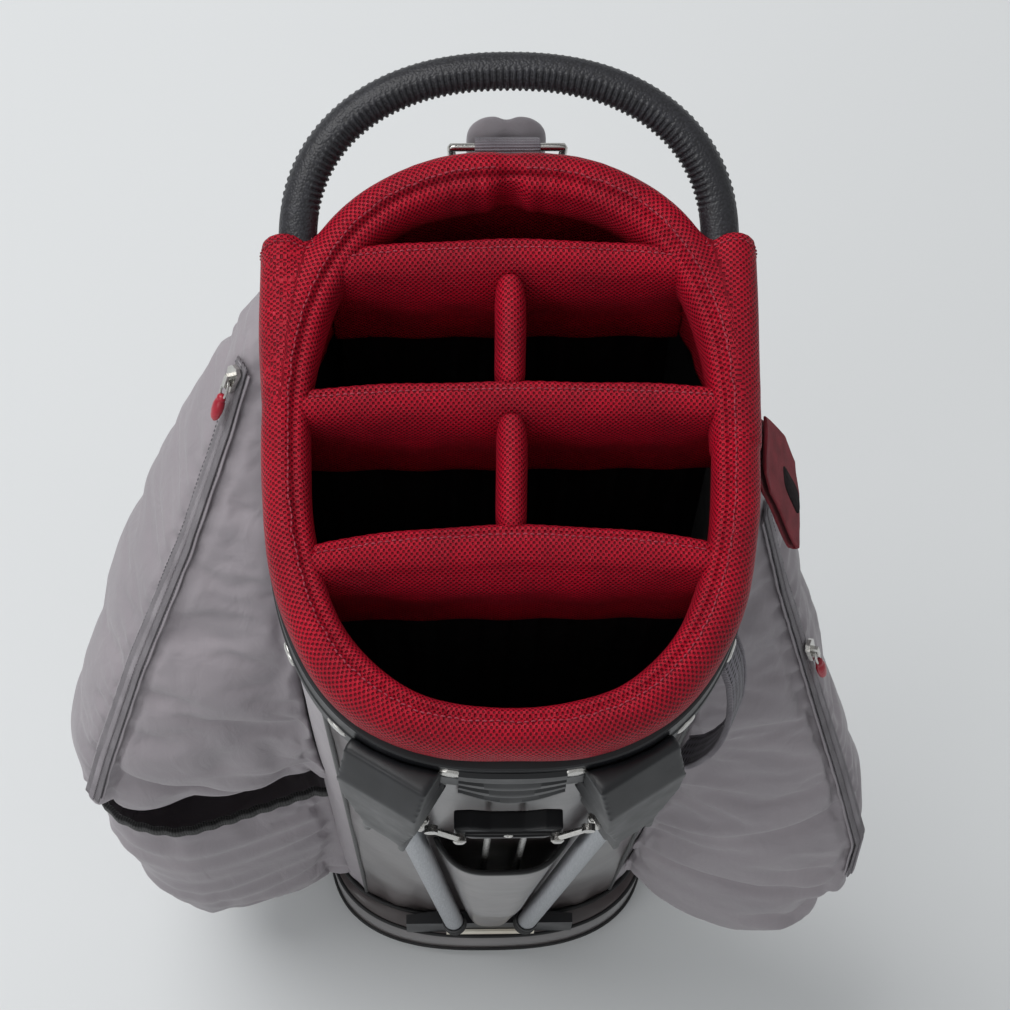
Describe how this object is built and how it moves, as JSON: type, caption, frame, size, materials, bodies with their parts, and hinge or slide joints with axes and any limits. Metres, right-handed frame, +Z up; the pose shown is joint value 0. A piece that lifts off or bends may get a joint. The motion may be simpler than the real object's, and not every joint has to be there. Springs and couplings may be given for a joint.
{
  "type": "stand golf bag",
  "caption": "Stand carry golf bag with a padded divided top, arched carry handle, side pockets and folding front legs linked to a tilting sole.",
  "frame": {"origin": "centre of the sole, on the floor", "axes": "+Z up along the bag, -Y towards the front with the folding legs, +X towards the ball pocket"},
  "size_m": [0.5214, 0.3509, 0.9048],
  "materials": {
    "red_mesh": "padded air-mesh knit, deep crimson",
    "grey_nylon": "plain-weave nylon, warm grey",
    "coated_fabric": "coated nylon with a soft gloss, warm grey",
    "base_shell": "fabric-covered moulded base, semi-gloss grey",
    "black_fabric": "black lining nylon",
    "grey_spacer": "grey spacer mesh",
    "black_plastic": "fine-textured moulded nylon",
    "grip_rubber": "leather-grain soft-touch rubber",
    "sole_rubber": "moulded rubber",
    "aluminium": "satin anodised tube",
    "nickel": "nickel plated",
    "zip_pull": "red moulded pull on a plated link",
    "ivory": "plain ivory plate"
  },
  "bodies": {
    "bag": {"base_cup": "base_shell", "sole_pad": "sole_rubber", "foot_hinge_pin": "nickel", "front_panel": "coated_fabric", "right_panel": "grey_nylon", "back_panel": "grey_nylon", "left_panel": "grey_nylon", "rod_cover": "coated_fabric", "back_stay": "black_plastic", "collar_frame": "black_plastic", "collar_pad": "red_mesh", "handle_core": "black_plastic", "handle_grip": "grip_rubber", "rear_bar": "black_plastic", "rear_bar_pad": "red_mesh", "middle_bar": "black_plastic", "middle_bar_pad": "red_mesh", "front_bar": "black_plastic", "front_bar_pad": "red_mesh", "rear_centre_bar": "black_plastic", "rear_centre_bar_pad": "red_mesh", "front_centre_bar": "black_plastic", "front_centre_bar_pad": "red_mesh", "rear_divider_sheet": "black_fabric", "middle_divider_sheet": "black_fabric", "front_divider_sheet": "black_fabric", "rear_centre_divider_sheet": "black_fabric", "front_centre_divider_sheet": "black_fabric", "left_leg_mount": "black_plastic", "left_leg_pin": "nickel", "right_leg_mount": "black_plastic", "right_leg_pin": "nickel", "leg_rest": "black_plastic", "label_plate": "ivory", "apparel_pocket": "grey_nylon", "ball_pocket": "grey_nylon", "lower_pocket": "grey_nylon", "apparel_pocket_zip_tape": "black_fabric", "ball_pocket_zip_tape": "black_fabric", "strap_ring_tab": "grey_nylon", "shoulder_strap": "grey_nylon", "side_handle": "grey_spacer", "towel_tab": "red_mesh"},
    "left_leg": {"left_leg_head": "black_plastic", "left_leg_tube": "aluminium", "left_leg_foot": "sole_rubber"},
    "right_leg": {"right_leg_head": "black_plastic", "right_leg_tube": "aluminium", "right_leg_foot": "sole_rubber"},
    "slider": {"link_slider": "black_plastic", "left_push_rod": "nickel", "right_push_rod": "nickel"},
    "left_arm": {"left_link_arm": "nickel"},
    "right_arm": {"right_link_arm": "nickel"},
    "tilting_sole": {"foot_plate": "sole_rubber"},
    "apparel_zip": {"apparel_pocket_zip_slider": "nickel"},
    "apparel_pull": {"apparel_pocket_zip_pull": "zip_pull"},
    "ball_zip": {"ball_pocket_zip_slider": "nickel"},
    "ball_pull": {"ball_pocket_zip_pull": "zip_pull"},
    "ring": {"strap_ring": "nickel"}
  },
  "joints": [
    {"name": "left_leg_swing", "type": "hinge", "parent": "bag", "child": "left_leg", "pos_m": [-0.058, -0.14, 0.676], "axis": [-0.848, 0.5299, 0], "range_deg": [0, 28], "stiffness_Nm_per_rad": 0.5, "springref_deg": -20.05},
    {"name": "right_leg_swing", "type": "hinge", "parent": "bag", "child": "right_leg", "pos_m": [0.058, -0.14, 0.676], "axis": [-0.848, -0.5299, 0], "range_deg": [0, 28]},
    {"name": "slider_travel", "type": "slide", "parent": "bag", "child": "slider", "axis": [0, -0.1133, 0.9936], "range_m": [0, 0.009]},
    {"name": "left_arm_turn", "type": "hinge", "parent": "slider", "child": "left_arm", "pos_m": [-0.026, -0.1546, 0.668], "axis": [0, 1, 0], "range_deg": [0, 3]},
    {"name": "right_arm_turn", "type": "hinge", "parent": "slider", "child": "right_arm", "pos_m": [0.026, -0.1546, 0.668], "axis": [0, -1, 0], "range_deg": [0, 3]},
    {"name": "sole_tilt", "type": "hinge", "parent": "bag", "child": "tilting_sole", "pos_m": [0, -0.048, 0.0065], "axis": [-1, 0, 0], "range_deg": [0, 12]},
    {"name": "apparel_zip_travel", "type": "slide", "parent": "bag", "child": "apparel_zip", "axis": [-0.3107, -0.4625, -0.8304], "range_m": [0, 0.13]},
    {"name": "apparel_pull_swing", "type": "hinge", "parent": "apparel_zip", "child": "apparel_pull", "pos_m": [-0.1478, 0.07617, 0.74818], "axis": [-0.5605, 0.7947, -0.2329], "range_deg": [0, 90]},
    {"name": "ball_zip_travel", "type": "slide", "parent": "bag", "child": "ball_zip", "axis": [0.2683, -0.2518, -0.9299], "range_m": [0, 0.13]},
    {"name": "ball_pull_swing", "type": "hinge", "parent": "ball_zip", "child": "ball_pull", "pos_m": [0.18185, -0.02725, 0.58774], "axis": [-0.3271, -0.9317, 0.1579], "range_deg": [0, 90]},
    {"name": "ring_swing", "type": "hinge", "parent": "bag", "child": "ring", "pos_m": [0, 0.154, 0.862], "axis": [1, 0, 0], "range_deg": [-5, 5]}
  ],
  "couplings": [
    {"joint": "right_leg_swing", "follows": "left_leg_swing", "ratio": 1},
    {"joint": "slider_travel", "follows": "left_leg_swing", "m_per_rad": 0.018407},
    {"joint": "left_arm_turn", "follows": "left_leg_swing", "ratio": 0.10713},
    {"joint": "right_arm_turn", "follows": "left_leg_swing", "ratio": 0.10713},
    {"joint": "sole_tilt", "follows": "left_leg_swing", "ratio": 0.42856}
  ]
}
